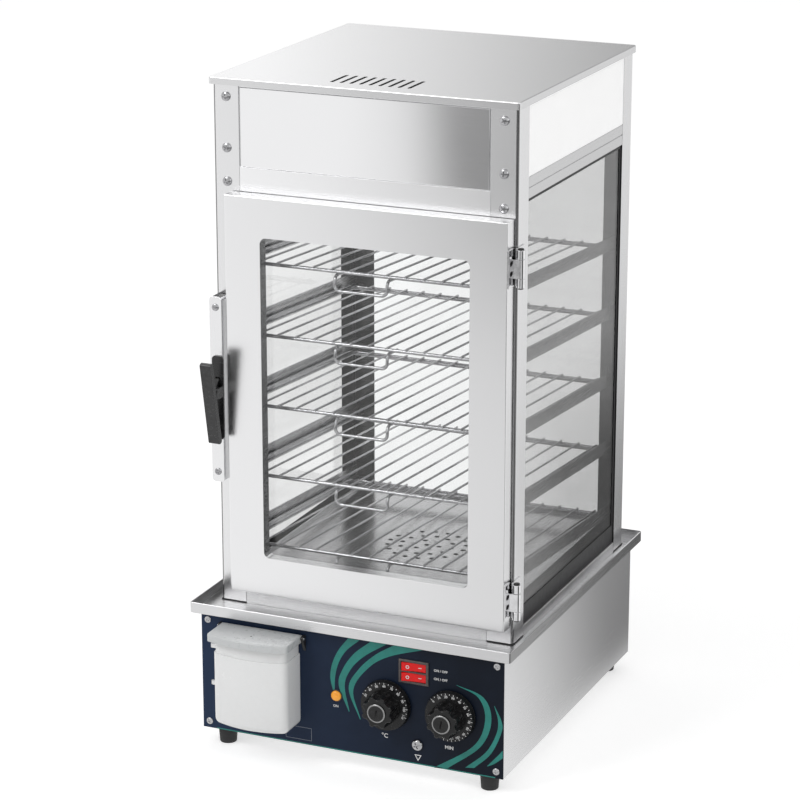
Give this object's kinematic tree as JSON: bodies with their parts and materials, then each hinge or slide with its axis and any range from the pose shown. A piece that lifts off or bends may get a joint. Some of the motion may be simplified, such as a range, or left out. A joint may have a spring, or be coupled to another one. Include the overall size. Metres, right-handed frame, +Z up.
{
  "type": "bun steamer display cabinet",
  "caption": "Countertop bun steamer with a heated water base, a glazed cabinet with sloping wire shelves, a hinged latched door and a lit header.",
  "frame": {"origin": "on the floor under the middle of the base, which is also the bottom centre of the whole object", "axes": "+Z up, +X to the right seen from the front, the door and the controls face -Y"},
  "size_m": [0.38, 0.5004, 0.75],
  "materials": {
    "steel": "satin",
    "polished_steel": "bright satin",
    "panel": "printed gloss panel",
    "fastener": "bright",
    "rubber": "matt",
    "element": "heat tinted",
    "brass": "machined",
    "handle_red": "dipped",
    "white_plastic": "gloss",
    "black_plastic": "matt",
    "knob_black": "semi-matt",
    "copper": "drawn copper",
    "rocker_red": "gloss",
    "lens_orange": "translucent",
    "opal_panel": "opal",
    "lamp_glass": "opal tube",
    "glass": "clear",
    "seal_black": "matt",
    "seal_white": "silicone",
    "chrome": "plated",
    "pin_black": "black oxide",
    "latch_black": "gloss",
    "wire": "plated wire"
  },
  "bodies": {
    "cabinet": {"base_shell": "steel", "base_bottom": "steel", "front_panel": "panel", "base_screws": "fastener", "feet": "rubber", "top_tray": "steel", "water_pan": "steel", "heating_element": "element", "feed_pipe": "steel", "drain_pipe": "steel", "drain_valve": "brass", "water_box": "white_plastic", "thermostat_body": "black_plastic", "timer_body": "black_plastic", "capillary_bulb": "copper", "switch_housing": "black_plastic", "indicator_lamp": "lens_orange", "ground_terminal": "fastener", "terminal_block": "black_plastic", "cable_gland": "black_plastic", "posts": "polished_steel", "bottom_rails": "steel", "side_top_rails": "steel", "header_frame": "polished_steel", "sign_panel": "polished_steel", "frame_screws": "fastener", "lamp_side_panels": "opal_panel", "rear_top_panel": "steel", "ceiling_plate": "opal_panel", "lamp_tube": "lamp_glass", "lamp_holders": "white_plastic", "lid": "polished_steel", "side_glass": "glass", "rear_glass": "glass", "glass_gaskets": "seal_black", "steam_plate": "steel", "shelf_rails": "steel", "post_hinge_leaves": "chrome", "hinge_pins": "pin_black", "latch_strike": "steel"},
    "door": {"door_skin": "polished_steel", "door_liner": "steel", "door_glass": "glass", "door_gasket": "seal_white", "door_hinge_leaves": "chrome", "latch_channel": "polished_steel", "latch_base": "latch_black", "door_screws": "fastener"},
    "latch_lever": {"latch_lever": "latch_black"},
    "water_box_lid": {"water_box_lid": "white_plastic"},
    "drain_valve_handle": {"drain_valve_handle": "handle_red"},
    "thermostat_knob": {"thermostat_knob": "knob_black"},
    "timer_knob": {"timer_knob": "knob_black"},
    "rocker_upper": {"rocker_upper": "rocker_red"},
    "rocker_lower": {"rocker_lower": "rocker_red"},
    "shelf_1": {"shelf_1": "wire"},
    "shelf_2": {"shelf_2": "wire"},
    "shelf_3": {"shelf_3": "wire"},
    "shelf_4": {"shelf_4": "wire"},
    "shelf_5": {"shelf_5": "wire"}
  },
  "joints": [
    {"name": "door_hinge", "type": "hinge", "parent": "cabinet", "child": "door", "pos_m": [0.181, -0.17, 0.395], "axis": [0, 0, 1], "range_deg": [0, 165]},
    {"name": "latch_pivot", "type": "hinge", "parent": "door", "child": "latch_lever", "pos_m": [-0.16045, -0.1985, 0.411], "axis": [-1, 0, 0], "range_deg": [0, 22]},
    {"name": "water_lid_hinge", "type": "hinge", "parent": "cabinet", "child": "water_box_lid", "pos_m": [-0.1045, -0.2062, 0.1465], "axis": [-1, 0, 0], "range_deg": [0, 45]},
    {"name": "drain_valve_turn", "type": "hinge", "parent": "cabinet", "child": "drain_valve_handle", "pos_m": [0, 0.213, 0.067], "axis": [0, 0, 1], "range_deg": [0, 90]},
    {"name": "thermostat_turn", "type": "hinge", "parent": "cabinet", "child": "thermostat_knob", "pos_m": [0.044, -0.21, 0.0846], "axis": [0, 1, 0], "range_deg": [0, 270]},
    {"name": "timer_turn", "type": "hinge", "parent": "cabinet", "child": "timer_knob", "pos_m": [0.1196, -0.21, 0.0846], "axis": [0, 1, 0], "range_deg": [0, 300]},
    {"name": "upper_rocker_tilt", "type": "hinge", "parent": "cabinet", "child": "rocker_upper", "pos_m": [0.07575, -0.1987, 0.1328], "axis": [0, 0, -1], "range_deg": [0, 14]},
    {"name": "lower_rocker_tilt", "type": "hinge", "parent": "cabinet", "child": "rocker_lower", "pos_m": [0.07575, -0.1987, 0.1212], "axis": [0, 0, -1], "range_deg": [0, 14]},
    {"name": "shelf_1_slide", "type": "slide", "parent": "cabinet", "child": "shelf_1", "axis": [0, -0.9976, 0.0698], "range_m": [0, 0.008]},
    {"name": "shelf_2_slide", "type": "slide", "parent": "cabinet", "child": "shelf_2", "axis": [0, -0.9976, 0.0698], "range_m": [0, 0.008]},
    {"name": "shelf_3_slide", "type": "slide", "parent": "cabinet", "child": "shelf_3", "axis": [0, -0.9976, 0.0698], "range_m": [0, 0.008]},
    {"name": "shelf_4_slide", "type": "slide", "parent": "cabinet", "child": "shelf_4", "axis": [0, -0.9976, 0.0698], "range_m": [0, 0.008]},
    {"name": "shelf_5_slide", "type": "slide", "parent": "cabinet", "child": "shelf_5", "axis": [0, -0.9976, 0.0698], "range_m": [0, 0.008]}
  ]
}
